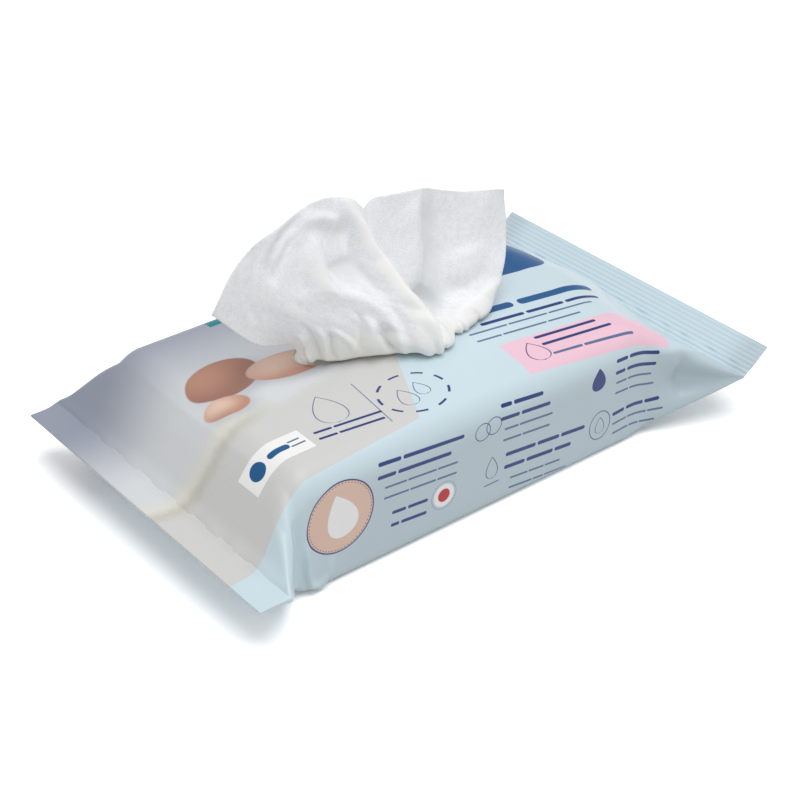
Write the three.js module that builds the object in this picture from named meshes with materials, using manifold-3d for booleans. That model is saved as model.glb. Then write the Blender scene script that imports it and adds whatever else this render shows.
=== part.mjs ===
// Soft pack of wet wipes: a printed film flow wrap with two crimped end fins and a seam along its base,
// the stack of folded wipes that fills it, and the top wipe pulled up through the oval opening.
// Millimetres, +Z up, +X along the pack. The origin is on the base seam, under the middle of the stack.
import * as THREE from 'three';
import { mergeVertices } from 'three/addons/utils/BufferGeometryUtils.js';
import Module from 'manifold-3d';

const wasm = await Module();
wasm.setup();

// Driving dimensions
const clearance = 0.3; // air between neighbouring pieces

const stackLength = 148; // wipes are 150 by 200 mm, folded once across the long side
const stackWidth = 102;
const stackHeight = 43;
const foldsPerSide = 20; // round fold edges on each upright side
const foldDepth = 0.8;

const filmWall = 0.4;
const shoulderRadius = 9; // rounding along the long top edges
const footRadius = 4; // rounding along the long bottom edges
const endRounding = 14; // length of film that bends over the top and bottom of each end of the stack
const earRounding = 6; // length of film that bends outwards past each upright edge of the stack
const crown = 1.5; // rise of the top panel in its middle
const leftTaper = 15; // film from the end of the stack to the left fin
const rightTaper = 37.5;
const earTuck = 3.5; // how far the side film is drawn in between stack and fin

const finWidth = 136; // across the pack
const finDepth = 11; // along the film, from the tapering film to the cut edge
const leftFinHeight = 18.5;
const rightFinHeight = 20;
const rightFinTilt = 42; // degrees, the right fin stands up
const crimpCount = 8;
const crimpRise = 0.3;

const seamWidth = 12; // lap seam under the base
const seamWall = 0.3;

const openingLength = 70;
const openingWidth = 26;
const openingX = 1;
const openingY = 4;

const sheetWall = 0.6; // wet nonwoven
const lobeHeight = 59; // top of the pulled wipe over the film
const leftLobeReach = 72; // from the middle of the opening to the tip of the drooping side
const rightLobeReach = 55;
const lobeSway = 15; // how far the lobes swing to the front and back
const pleatCount = 9;
const pleatDepth = 1.2; // gathers where the wipe passes the opening

// Levels and places that follow from the sizes
const stackFloor = seamWall + filmWall + clearance;
const stackTop = stackFloor + stackHeight;
const filmTop = stackTop + clearance + filmWall;
const bodyHalfWidth = stackWidth / 2 + clearance + filmWall;
const bodyHalfLength = stackLength / 2 + clearance + filmWall;
const finWall = 2 * filmWall; // two films sealed face to face
const sheetBase = stackTop + crown + clearance;
const rimZ = filmTop + crown;

const filmBlue = 0xc9dde4;
const wipeWhite = 0xf4f5f3;

const lerp = THREE.MathUtils.lerp;
const clamp = THREE.MathUtils.clamp;

// Solids

function toSolid(geometry) {
  const bare = geometry.clone();
  bare.deleteAttribute('normal');
  bare.deleteAttribute('uv');
  const merged = mergeVertices(bare, 1e-4);
  const vertProperties = new Float32Array(merged.attributes.position.array);
  const triVerts = new Uint32Array(merged.index.array);
  return new wasm.Manifold(new wasm.Mesh({ numProp: 3, vertProperties, triVerts }));
}

function toGeometry(solid) {
  const { vertProperties, triVerts } = solid.getMesh();
  const geometry = new THREE.BufferGeometry();
  geometry.setAttribute('position', new THREE.BufferAttribute(vertProperties, 3));
  geometry.setIndex(new THREE.BufferAttribute(triVerts, 1));
  geometry.computeVertexNormals();
  return geometry;
}

// Closed skin over rings of equal length, with a fan of triangles over the first and the last ring.
function loft(rings) {
  const count = rings[0].length;
  const points = rings.flat();
  const faces = [];
  for (let r = 0; r + 1 < rings.length; r++) {
    for (let i = 0; i < count; i++) {
      const a = r * count + i;
      const b = r * count + ((i + 1) % count);
      faces.push(a, b, a + count, b, b + count, a + count);
    }
  }
  const middle = (ring) => ring.reduce((sum, p) => sum.add(p), new THREE.Vector3()).divideScalar(count);
  const first = points.push(middle(rings[0])) - 1;
  const last = points.push(middle(rings.at(-1))) - 1;
  const lastRing = (rings.length - 1) * count;
  for (let i = 0; i < count; i++) {
    const next = (i + 1) % count;
    faces.push(next, i, first, lastRing + i, lastRing + next, last);
  }
  const geometry = new THREE.BufferGeometry().setFromPoints(points);
  geometry.setIndex(faces);
  return geometry;
}

// Film wrapper

// The film past one end of the stack: where its fin is and how far it has to go.
const ends = {
  left: { side: -1, taper: leftTaper, finZ: leftFinHeight },
  right: { side: 1, taper: rightTaper, finZ: rightFinHeight },
};

// Distance past the start of a bend, eased over the length of the bend so that there is no sharp fold.
function pastBend(distance, bend) {
  if (distance <= 0) return 0;
  if (distance >= bend) return distance - bend / 2;
  return distance ** 2 / (2 * bend);
}

// Outer half width, top and bottom of the film at a place along the pack, and its share of the way to a fin.
function filmOutline(x) {
  const end = x < 0 ? ends.left : ends.right;
  const past = Math.abs(x) - bodyHalfLength;
  const lead = endRounding / 2;
  const share = pastBend(past + lead, endRounding) / pastBend(end.taper + lead, endRounding);
  const flare = pastBend(past, earRounding) / pastBend(end.taper, earRounding);
  return {
    share,
    half: lerp(bodyHalfWidth, finWidth / 2, flare),
    top: lerp(filmTop, end.finZ + finWall / 2, share),
    bottom: lerp(0, end.finZ - finWall / 2, share),
  };
}

// Inset that keeps the wall as thick on a slope as it is on the level.
function wallInset(x, wall) {
  const step = 0.01;
  const a = filmOutline(x - step);
  const b = filmOutline(x + step);
  const stretch = (edge) => wall * Math.hypot(1, (b[edge] - a[edge]) / (2 * step));
  return { half: stretch('half'), top: stretch('top'), bottom: stretch('bottom') };
}

// Faces round a ring of film, and along its bends and its level part
const topSteps = 10;
const cornerSteps = 4;
const footSteps = 4;
const filmSideSteps = 6;
const filmBendSteps = 9;
const filmBodySteps = 6;
const stackBendSteps = 3;
const stackBodySteps = 2;

const largestCorner = 0.45; // of a ring's height, so that its sides keep a straight part

// How far the base bows up to make room for the seam under its middle.
const seamBow = (outline) => seamWall * (1 - outline.share);

// One ring across the pack at a depth under the film's outer face, a rounded oblong that flattens towards
// the fins. Its upright sides have a number of steps, and every other one is set in by the notch.
function packRing(x, depth, sideSteps, notch) {
  const outline = filmOutline(x);
  const inset = wallInset(x, depth);
  const half = outline.half - inset.half;
  const top = outline.top - inset.top;
  const bottom = outline.bottom + inset.bottom;
  const height = top - bottom;
  const cornerAt = (radius) => {
    const eased = lerp(radius - depth, filmWall / 2, outline.share);
    return Math.min(eased, height * largestCorner);
  };
  const shoulder = cornerAt(shoulderRadius);
  const foot = cornerAt(footRadius);
  const tuck = earTuck * Math.sin(Math.PI * outline.share) ** 2;
  const rise = crown * Math.cos((Math.PI / 2) * clamp(x / bodyHalfLength, -1, 1));
  const bow = seamBow(outline);
  const bowReach = (half - foot) / 2; // the base lies flat past this

  const ring = [];
  const add = (y, z) => {
    const crownShare = Math.cos((Math.PI / 2) * clamp(y / half, -1, 1));
    const bowShare = Math.max(0, 1 - Math.abs(y) / bowReach);
    const lift = z > bottom + height / 2 ? rise * crownShare : bow * bowShare;
    ring.push(new THREE.Vector3(x, y, z + lift));
  };
  const corner = (cy, cz, radius, from) => {
    for (let i = 0; i <= cornerSteps; i++) {
      const angle = from + ((Math.PI / 2) * i) / cornerSteps;
      add(cy + radius * Math.cos(angle), cz + radius * Math.sin(angle));
    }
  };
  const side = (sign, from, to) => {
    for (let i = 1; i < sideSteps; i++) {
      const t = i / sideSteps;
      const setIn = tuck * Math.sin(Math.PI * t) ** 2 + (i % 2) * notch;
      add(sign * (half - setIn), lerp(from, to, t));
    }
  };
  const level = (from, to, z, steps) => {
    for (let i = 1; i < steps; i++) add(lerp(from, to, i / steps), z);
  };

  side(1, bottom + foot, top - shoulder);
  corner(half - shoulder, top - shoulder, shoulder, 0);
  level(half - shoulder, shoulder - half, top, topSteps);
  corner(shoulder - half, top - shoulder, shoulder, Math.PI / 2);
  side(-1, top - shoulder, bottom + foot);
  corner(foot - half, bottom + foot, foot, Math.PI);
  level(foot - half, half - foot, bottom, footSteps);
  corner(half - foot, bottom + foot, foot, 1.5 * Math.PI);
  return ring;
}

const filmRing = (x, depth) => packRing(x, depth, filmSideSteps, 0);

// Places of rings between two ends of the pack, closer together where the film bends and tapers.
function stations(left, right, bendSteps, bodySteps) {
  const level = bodyHalfLength - endRounding / 2;
  const places = [];
  for (let i = 0; i < bendSteps; i++) places.push(lerp(left, -level, i / bendSteps));
  for (let i = 0; i < bodySteps; i++) places.push(lerp(-level, level, i / bodySteps));
  for (let i = 0; i <= bendSteps; i++) places.push(lerp(level, right, i / bendSteps));
  return places;
}

// From fin to fin, or a share of the way to each.
function filmStations(reach) {
  const left = -bodyHalfLength - reach * leftTaper;
  const right = bodyHalfLength + reach * rightTaper;
  return stations(left, right, filmBendSteps, filmBodySteps);
}

// Corrugated strip of two sealed films, in the plane of the film that runs into it.
function crimpedFin(end, tilt) {
  const rootOverlap = 1.5 * filmWall;
  const pitch = finDepth / crimpCount;
  const wave = [new THREE.Vector2(-rootOverlap, 0), new THREE.Vector2(0, 0)];
  for (let i = 0; i < crimpCount; i++) {
    wave.push(new THREE.Vector2((i + 0.25) * pitch, crimpRise));
    wave.push(new THREE.Vector2((i + 0.75) * pitch, -crimpRise));
  }
  wave.push(new THREE.Vector2(finDepth, 0));
  const upper = wave.map((p) => new THREE.Vector2(p.x, p.y + finWall / 2));
  const lower = wave.map((p) => new THREE.Vector2(p.x, p.y - finWall / 2));
  const outline = new THREE.Shape([...lower, ...upper.reverse()]);
  const strip = new THREE.ExtrudeGeometry(outline, { depth: finWidth, bevelEnabled: false });
  strip.rotateX(Math.PI / 2);
  strip.translate(0, finWidth / 2, 0);
  strip.rotateY(-tilt);
  if (end.side < 0) strip.rotateZ(Math.PI);
  strip.translate(end.side * (bodyHalfLength + end.taper), 0, end.finZ);
  return strip;
}

// Lap of film that closes the tube under the base and runs up into both fins.
function baseSeam() {
  const seamRing = (x) => {
    const outline = filmOutline(x);
    const film = outline.bottom + seamBow(outline);
    const edge = (y, z) => new THREE.Vector3(x, y * (seamWidth / 2), z);
    const low = film - seamWall;
    const high = film + filmWall / 2;
    return [edge(1, low), edge(1, high), edge(-1, high), edge(-1, low)];
  };
  return loft(filmStations(1).map(seamRing));
}

function openingCutter() {
  const oval = new THREE.Shape();
  oval.absellipse(0, 0, openingLength / 2, openingWidth / 2, 0, 2 * Math.PI);
  const depth = stackHeight;
  const cutter = new THREE.ExtrudeGeometry(oval, { depth, curveSegments: 40, bevelEnabled: false });
  cutter.translate(openingX, openingY, filmTop - stackHeight / 2);
  return cutter;
}

function wrapper() {
  const hollowReach = 0.93; // the two films meet a little before the fin
  const outside = loft(filmStations(1).map((x) => filmRing(x, 0)));
  const inside = loft(filmStations(hollowReach).map((x) => filmRing(x, filmWall)));
  const film = toSolid(outside)
    .add(toSolid(crimpedFin(ends.left, 0)))
    .add(toSolid(crimpedFin(ends.right, THREE.MathUtils.degToRad(rightFinTilt))))
    .add(toSolid(baseSeam()))
    .subtract(toSolid(inside))
    .subtract(toSolid(openingCutter()));
  return toGeometry(film);
}

// Stack of folded wipes, which fills the film up to the clearance. Its fold edges show on both long sides.

function stack() {
  const places = stations(-stackLength / 2, stackLength / 2, stackBendSteps, stackBodySteps);
  return loft(places.map((x) => packRing(x, filmWall + clearance, 2 * foldsPerSide, foldDepth)));
}

// Pulled wipe

// Rails across the sheet from its drooping left edge to its upright right edge, lowest first.
// Each point has shares of a reach along the pack, of a sway across it and of the height over the film.
const neckRail = [
  [-0.82, 0.1, 0.01], [-0.6, -0.25, 0.01], [-0.36, -0.5, 0.01], [-0.1, -0.68, 0.01], [0.15, -0.72, 0.01],
  [0.34, -0.66, 0.01], [0.46, -0.45, 0.01], [0.54, -0.25, 0.01], [0.64, -0.25, 0.01], [0.73, -0.28, 0.01],
  [0.8, -0.28, 0.01],
];
const lapRail = [
  [-1.03, -0.08, 0.03], [-0.8, -0.54, 0.03], [-0.51, -1.04, 0.03], [-0.17, -1.42, 0.03], [0.11, -1.58, 0.03],
  [0.37, -1.5, 0.03], [0.5, -1.19, 0.03], [0.66, -1.08, 0.03], [0.86, -1.08, 0.03], [1, -0.92, 0.03],
  [1.1, -0.69, 0.03],
];
const lowerRail = [
  [-0.52, -0.23, 0.16], [-0.47, -0.88, 0.2], [-0.37, -1.25, 0.22], [-0.24, -1.43, 0.22], [-0.06, -1.33, 0.22],
  [0.1, -0.9, 0.2], [0.15, -0.4, 0.18], [0.22, -0.24, 0.17], [0.42, -0.42, 0.16], [0.62, -0.5, 0.15],
  [0.8, -0.5, 0.15],
];
const upperRail = [
  [-0.72, -0.48, 0.3], [-0.68, -1.13, 0.46], [-0.56, -1.43, 0.53], [-0.39, -1.5, 0.57], [-0.2, -1.23, 0.56],
  [-0.06, -0.66, 0.52], [-0.02, -0.07, 0.46], [0.09, 0.24, 0.43], [0.4, 0.13, 0.42], [0.7, 0, 0.38],
  [0.98, -0.13, 0.32],
];
const freeEdge = [
  [-1, -0.51, 0.55], [-0.9, -0.75, 0.81], [-0.73, -0.77, 0.95], [-0.52, -0.61, 1], [-0.3, -0.31, 0.98],
  [-0.15, 0.07, 0.9], [-0.12, 0.47, 0.8], [0.02, 0.67, 0.75], [0.37, 0.48, 0.77], [0.74, 0.27, 0.66],
  [1, 0, 0.62],
];

// Curve through the points of a rail, for the sizes that its shares stand for.
function railCurve(points, leftReach, rightReach, sway) {
  const places = points.map(([along, across, up]) => {
    const reach = along < 0 ? leftReach : rightReach;
    return new THREE.Vector3(openingX + along * reach, openingY + across * sway, rimZ + up * lobeHeight);
  });
  return new THREE.CatmullRomCurve3(places);
}

const atOpening = (points) => railCurve(points, openingLength / 2, openingLength / 2, openingWidth / 2);
const overOpening = (points) => railCurve(points, leftLobeReach, rightLobeReach, lobeSway);

const sheetRails = [
  atOpening(neckRail),
  atOpening(lapRail),
  overOpening(lowerRail),
  overOpening(upperRail),
  overOpening(freeEdge),
];

const sheetColumns = 64;
const sheetRows = 15;

// Middle surface of the sheet: u runs across it and v from the stack to its free edge.
function sheetPoint(u, v) {
  const risers = sheetRails.map((rail) => rail.getPoint(u));
  const along = sheetRails[0].getTangent(u);
  const gather = pleatDepth * (1 - v) ** 1.5 * Math.sin(2 * Math.PI * pleatCount * u);
  const fold = new THREE.Vector3(-along.y, along.x, 0).normalize().multiplyScalar(gather);
  const insideShare = 1 / sheetRows; // the first row of faces lies inside the opening
  if (v <= insideShare) {
    const foot = risers[0].clone().setZ(sheetBase);
    return foot.lerp(risers[0], v / insideShare).add(fold);
  }
  const rising = new THREE.CatmullRomCurve3(risers);
  rising.arcLengthDivisions = 60;
  return rising.getPointAt((v - insideShare) / (1 - insideShare)).add(fold);
}

function pulledWipe() {
  const step = 1e-3;
  const sides = { front: [], back: [] };
  for (let row = 0; row <= sheetRows; row++) {
    for (let column = 0; column <= sheetColumns; column++) {
      const u = column / sheetColumns;
      const v = row / sheetRows;
      const acrossSheet = sheetPoint(Math.min(1, u + step), v).sub(sheetPoint(Math.max(0, u - step), v));
      const upSheet = sheetPoint(u, Math.min(1, v + step)).sub(sheetPoint(u, Math.max(0, v - step)));
      const normal = acrossSheet.cross(upSheet).normalize().multiplyScalar(sheetWall / 2);
      const point = sheetPoint(u, v);
      sides.front.push(point.clone().add(normal));
      sides.back.push(point.clone().sub(normal));
    }
  }
  const points = [...sides.front, ...sides.back];
  const perSide = sides.front.length;
  const front = (row, column) => row * (sheetColumns + 1) + column;
  const back = (row, column) => perSide + front(row, column);
  const faces = [];
  const quad = (a, b, c, d) => faces.push(a, b, c, a, c, d);
  for (let row = 0; row < sheetRows; row++) {
    const up = row + 1;
    for (let column = 0; column < sheetColumns; column++) {
      const next = column + 1;
      quad(front(row, column), front(row, next), front(up, next), front(up, column));
      quad(back(up, column), back(up, next), back(row, next), back(row, column));
    }
    quad(back(row, 0), front(row, 0), front(up, 0), back(up, 0));
    quad(front(row, sheetColumns), back(row, sheetColumns), back(up, sheetColumns), front(up, sheetColumns));
  }
  for (let column = 0; column < sheetColumns; column++) {
    const next = column + 1;
    quad(back(0, column), back(0, next), front(0, next), front(0, column));
    quad(front(sheetRows, column), front(sheetRows, next), back(sheetRows, next), back(sheetRows, column));
  }
  const geometry = new THREE.BufferGeometry().setFromPoints(points);
  geometry.setIndex(faces);
  geometry.computeVertexNormals();
  return geometry;
}

// The pack

const filmFinish = new THREE.MeshStandardMaterial({ color: filmBlue, roughness: 0.4, metalness: 0 });
const wipeFinish = new THREE.MeshStandardMaterial({ color: wipeWhite, roughness: 0.9, metalness: 0 });

const pack = new THREE.Group();

function addPiece(name, geometry, material) {
  const piece = new THREE.Mesh(geometry, material);
  piece.name = name;
  pack.add(piece);
}

addPiece('film_wrapper', wrapper(), filmFinish);
addPiece('wipe_stack', stack(), wipeFinish);
addPiece('pulled_wipe', pulledWipe(), wipeFinish);

export default pack;
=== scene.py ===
import math
import bpy
import numpy as np
from mathutils import Matrix, Vector


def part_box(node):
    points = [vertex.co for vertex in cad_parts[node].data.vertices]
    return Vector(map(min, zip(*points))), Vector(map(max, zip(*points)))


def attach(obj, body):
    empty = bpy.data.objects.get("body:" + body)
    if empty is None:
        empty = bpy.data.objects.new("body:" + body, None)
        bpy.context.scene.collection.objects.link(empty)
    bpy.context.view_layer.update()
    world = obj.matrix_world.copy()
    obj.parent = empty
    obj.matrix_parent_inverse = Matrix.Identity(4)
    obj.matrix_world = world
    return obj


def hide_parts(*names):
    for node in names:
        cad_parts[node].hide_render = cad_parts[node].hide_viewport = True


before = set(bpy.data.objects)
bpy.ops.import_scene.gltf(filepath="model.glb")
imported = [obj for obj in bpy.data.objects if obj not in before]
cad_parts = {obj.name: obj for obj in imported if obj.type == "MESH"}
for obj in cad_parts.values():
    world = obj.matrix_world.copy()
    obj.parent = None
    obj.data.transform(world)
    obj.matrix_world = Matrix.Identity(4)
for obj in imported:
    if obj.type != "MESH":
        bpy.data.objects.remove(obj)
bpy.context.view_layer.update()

mm = 0.001


def lerp(a, b, t):
    return a + (b - a) * t


def addObject(name, data):
    made = bpy.data.objects.new(name, data)
    bpy.context.scene.collection.objects.link(made)
    return made


def addMesh(name, points, faces, material):
    mesh = bpy.data.meshes.new(name)
    mesh.from_pydata([tuple(p) for p in points], [], faces)
    mesh.materials.append(material)
    mesh.shade_smooth()
    mesh.update()
    return addObject(name, mesh)


# camera at the photograph's angle
view = {
    "place": (-0.3314, -0.4125, 0.3565),
    "aim": (0.0039, -0.0043, 0.0200),
    "roll": 0.7,
    "lens": 81.0,
    "sensor": 36,
    "farClip": 20,
}


def facing(place, aim):
    turn = (Vector(aim) - Vector(place)).to_track_quat("-Z", "Y")
    return Matrix.Translation(place) @ turn.to_matrix().to_4x4()


def addCamera():
    data = bpy.data.cameras.new("camera")
    data.lens = view["lens"]
    data.sensor_width = view["sensor"]
    data.clip_end = view["farClip"]
    camera = addObject("camera", data)
    roll = Matrix.Rotation(math.radians(view["roll"]), 4, "Z")
    camera.matrix_world = facing(view["place"], view["aim"]) @ roll
    bpy.context.scene.camera = camera


# node helpers
class NodeSheet:
    def __init__(self, tree):
        self.tree = tree

    def node(self, kind, **inputs):
        made = self.tree.nodes.new(kind)
        for name, value in inputs.items():
            self.feed(made, name, value)
        return made

    def feed(self, made, name, value):
        socket = made.inputs[name]
        if isinstance(value, bpy.types.NodeSocket):
            self.tree.links.new(value, socket)
        else:
            socket.default_value = value

    def math(self, kind, a, b=None, c=None):
        made = self.tree.nodes.new("ShaderNodeMath")
        made.operation = kind
        for index, value in enumerate((a, b, c)):
            if value is not None:
                self.feed(made, index, value)
        return made.outputs[0]

    def plus(self, a, b):
        return self.math("ADD", a, b)

    def minus(self, a, b):
        return self.math("SUBTRACT", a, b)

    def times(self, a, b):
        return self.math("MULTIPLY", a, b)

    def vector(self, kind, a, b):
        made = self.tree.nodes.new("ShaderNodeVectorMath")
        made.operation = kind
        self.feed(made, 0, a)
        self.feed(made, "Scale" if kind == "SCALE" else 1, b)
        return made.outputs[0]

    def mix(self, share, a, b):
        made = self.tree.nodes.new("ShaderNodeMix")
        made.data_type = "RGBA"
        for index, value in ((0, share), (6, a), (7, b)):
            self.feed(made, index, value)
        return made.outputs[2]

    def ramp(self, value, low, high):
        made = self.tree.nodes.new("ShaderNodeMapRange")
        made.interpolation_type = "SMOOTHSTEP"
        for index, setting in ((0, value), (1, low), (2, high)):
            self.feed(made, index, setting)
        return made.outputs[0]


def newGroup(name, inputs, outputs):
    tree = bpy.data.node_groups.new(name, "ShaderNodeTree")
    for title, value in inputs.items():
        kind = "NodeSocketVector" if value is None else "NodeSocketFloat"
        socket = tree.interface.new_socket(title, in_out="INPUT", socket_type=kind)
        if value is not None:
            socket.default_value = value
    for title in outputs:
        tree.interface.new_socket(title, in_out="OUTPUT", socket_type="NodeSocketFloat")
    sheet = NodeSheet(tree)
    return tree, sheet, sheet.node("NodeGroupInput").outputs, sheet.node("NodeGroupOutput")


def srgb(red, green, blue):
    def linear(c):
        c = c / 255
        return c / 12.92 if c <= 0.04045 else ((c + 0.055) / 1.055) ** 2.4
    return (linear(red), linear(green), linear(blue), 1)


def newMaterial(name, finish):
    material = bpy.data.materials.new(name)
    material.use_nodes = True
    material.node_tree.nodes.clear()
    sheet = NodeSheet(material.node_tree)
    surface = sheet.node("ShaderNodeBsdfPrincipled", **finish)
    sheet.node("ShaderNodeOutputMaterial", Surface=surface.outputs[0])
    return material, sheet, surface


def flatPlace(sheet):
    flat = sheet.node("ShaderNodeUVMap")
    flat.uv_map = "flat"
    return flat.outputs[0]


# print on the film, placed in flat film millimetres: along the pack, and across from the middle of the top
# panel, with the near long side below zero
placeInputs = {"Place": None, "Centre": None, "Turn": 0.0, "Width": 10.0, "Height": 10.0}


def ownAxes(sheet, given):
    # the point along and across the shape itself
    back = sheet.times(given["Turn"], -1.0)
    turn = sheet.node("ShaderNodeVectorRotate", Vector=given["Place"], Center=given["Centre"], Angle=back)
    turn.rotation_type = "Z_AXIS"
    apart = sheet.vector("SUBTRACT", turn.outputs[0], given["Centre"])
    parts = sheet.node("ShaderNodeSeparateXYZ", Vector=apart)
    return parts.outputs[0], parts.outputs[1]


def roundedReach(sheet, past, radius):
    # distance outside a box with round corners, from how far the point is past each inner edge
    gaps = [sheet.math("MAXIMUM", value, 0.0) for value in past]
    squares = [sheet.times(gap, gap) for gap in gaps]
    return sheet.minus(sheet.math("SQRT", sheet.plus(*squares)), radius)


def softInside(sheet, edge, soft):
    outside = sheet.ramp(edge, sheet.times(soft, -1.0), soft)
    return sheet.minus(1.0, outside)


def lineOrFill(sheet, edge, line):
    # the whole shape, or a band along its edge where a line width is given
    band = sheet.minus(sheet.math("ABSOLUTE", edge), line)
    shown = sheet.node("ShaderNodeMix")
    for index, value in ((0, sheet.math("GREATER_THAN", line, 0.0)), (2, edge), (3, band)):
        sheet.feed(shown, index, value)
    return shown.outputs[0]


def boxGroup():
    inputs = {**placeInputs, "Corner": 1.0, "Soft": 0.15}
    tree, sheet, given, end = newGroup("roundedBox", inputs, ["Mask"])
    past = []
    for value, size in zip(ownAxes(sheet, given), ("Width", "Height")):
        inner = sheet.minus(sheet.times(given[size], 0.5), given["Corner"])
        past.append(sheet.minus(sheet.math("ABSOLUTE", value), inner))
    edge = roundedReach(sheet, past, given["Corner"])
    sheet.feed(end, "Mask", softInside(sheet, edge, given["Soft"]))
    return tree


def ovalGroup():
    inputs = {**placeInputs, "Line": 0.0, "Dashes": 0.0, "Soft": 0.15}
    tree, sheet, given, end = newGroup("oval", inputs, ["Mask", "Reach"])
    x, y = ownAxes(sheet, given)
    across = sheet.math("DIVIDE", x, sheet.times(given["Width"], 0.5))
    up = sheet.math("DIVIDE", y, sheet.times(given["Height"], 0.5))
    squares = [sheet.times(value, value) for value in (across, up)]
    reach = sheet.math("SQRT", sheet.plus(*squares))
    smaller = sheet.times(sheet.math("MINIMUM", given["Width"], given["Height"]), 0.5)
    edge = sheet.times(sheet.minus(reach, 1.0), smaller)
    inside = softInside(sheet, lineOrFill(sheet, edge, given["Line"]), given["Soft"])
    beat = sheet.math("SINE", sheet.times(sheet.math("ARCTAN2", up, across), given["Dashes"]))
    dash = sheet.math("GREATER_THAN", beat, 0.0)
    whole = sheet.math("LESS_THAN", given["Dashes"], 0.5)
    sheet.feed(end, "Mask", sheet.times(inside, sheet.math("MAXIMUM", dash, whole)))
    sheet.feed(end, "Reach", reach)
    return tree


# rows of plain rounded bars, one to three in a row, of uneven length
barRow = {
    "shorter": 0.28,
    "gaps": ((0.24, 0.2, 1.5), (0.6, 0.16, 2.5)),  # place, its spread, and fewest bars that have the gap
    "gapHalf": 0.6,
    "rounding": 0.9,
    "soft": 0.06,
    "farOff": 1000.0,
}


def rowsGroup():
    inputs = {**placeInputs, "Rows": 2.0, "Weight": 0.4, "Bars": 2.0, "Seed": 0.0}
    tree, sheet, given, end = newGroup("barRows", inputs, ["Mask"])
    x, y = ownAxes(sheet, given)
    fromLeft = sheet.plus(x, sheet.times(given["Width"], 0.5))
    halfHeight = sheet.times(given["Height"], 0.5)
    pitch = sheet.math("DIVIDE", given["Height"], given["Rows"])
    down = sheet.math("DIVIDE", sheet.minus(halfHeight, y), pitch)
    thick = sheet.times(sheet.times(given["Weight"], 0.5), pitch)
    offMiddle = sheet.math("ABSOLUTE", sheet.minus(sheet.math("FRACT", down), 0.5))
    roomUp = sheet.minus(thick, sheet.times(offMiddle, pitch))
    # each row has its own length and its own gaps
    key = sheet.node("ShaderNodeCombineXYZ", X=sheet.math("FLOOR", down), Y=given["Seed"])
    chance = sheet.node("ShaderNodeTexWhiteNoise", Vector=key.outputs[0])
    chance.noise_dimensions = "2D"
    chances = sheet.node("ShaderNodeSeparateColor", Color=chance.outputs[1]).outputs
    short = sheet.minus(1.0, sheet.times(chances[0], barRow["shorter"]))
    length = sheet.times(given["Width"], short)
    room = sheet.math("MINIMUM", fromLeft, sheet.minus(length, fromLeft))
    for index, (low, spread, fewest) in enumerate(barRow["gaps"]):
        share = sheet.plus(sheet.times(chances[index + 1], spread), low)
        gapPlace = sheet.times(share, length)
        apart = sheet.math("ABSOLUTE", sheet.minus(fromLeft, gapPlace))
        unused = sheet.times(sheet.math("LESS_THAN", given["Bars"], fewest), barRow["farOff"])
        beside = sheet.minus(apart, sheet.times(thick, barRow["gapHalf"]))
        room = sheet.math("MINIMUM", room, sheet.plus(beside, unused))
    radius = sheet.times(thick, barRow["rounding"])
    past = [sheet.minus(radius, value) for value in (room, roomUp)]
    mask = softInside(sheet, roundedReach(sheet, past, radius), barRow["soft"])
    within = sheet.math("LESS_THAN", sheet.math("ABSOLUTE", y), halfHeight)
    sheet.feed(end, "Mask", sheet.times(mask, within))
    return tree


def dropGroup():
    # a drop with its point up, filled or as a line
    fullness = 1.3  # brings the widest level to the width that is asked for
    inputs = {**placeInputs, "Line": 0.0, "Soft": 0.12}
    tree, sheet, given, end = newGroup("drop", inputs, ["Mask"])
    x, y = ownAxes(sheet, given)
    up = sheet.plus(sheet.math("DIVIDE", y, given["Height"]), 0.5)
    level = sheet.math("MINIMUM", sheet.math("MAXIMUM", up, 0.0), 1.0)
    wide = sheet.times(sheet.math("SQRT", level), sheet.minus(1.0, level))
    half = sheet.times(sheet.times(given["Width"], fullness), wide)
    pastSide = sheet.minus(sheet.math("ABSOLUTE", x), half)
    pastEnd = sheet.minus(sheet.math("ABSOLUTE", sheet.minus(up, 0.5)), 0.5)
    edge = sheet.math("MAXIMUM", pastSide, sheet.times(pastEnd, given["Height"]))
    sheet.feed(end, "Mask", softInside(sheet, lineOrFill(sheet, edge, given["Line"]), given["Soft"]))
    return tree


printGroups = {"box": boxGroup(), "oval": ovalGroup(), "rows": rowsGroup(), "drop": dropGroup()}

inks = {
    "ice": srgb(205, 223, 231),
    # painted shade: darker ink for the film's long sides
    "paintedSideShade": srgb(192, 208, 216),
    "white": srgb(244, 244, 243),
    "navy": srgb(30, 52, 120),
    "slate": srgb(92, 112, 150),
    "blue": srgb(12, 86, 142),
    "sea": srgb(58, 140, 186),
    "teal": srgb(0, 132, 140),
    "pink": srgb(241, 199, 216),
    "red": srgb(190, 34, 42),
    "sand": srgb(226, 194, 176),
    "clay": srgb(190, 140, 120),
    "earth": srgb(156, 112, 98),
    "stone": srgb(212, 212, 211),
    "thread": srgb(207, 207, 205),
    "dusk": srgb(151, 157, 173),
    "mist": srgb(216, 219, 222),
    "cream": srgb(222, 222, 214),
    "reed": srgb(192, 189, 176),
}

sideLean = -5.5
topLean = -7.5


def bars(rows, weight, count, seed):
    return {"Rows": rows, "Weight": weight, "Bars": count, "Seed": seed}


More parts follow.
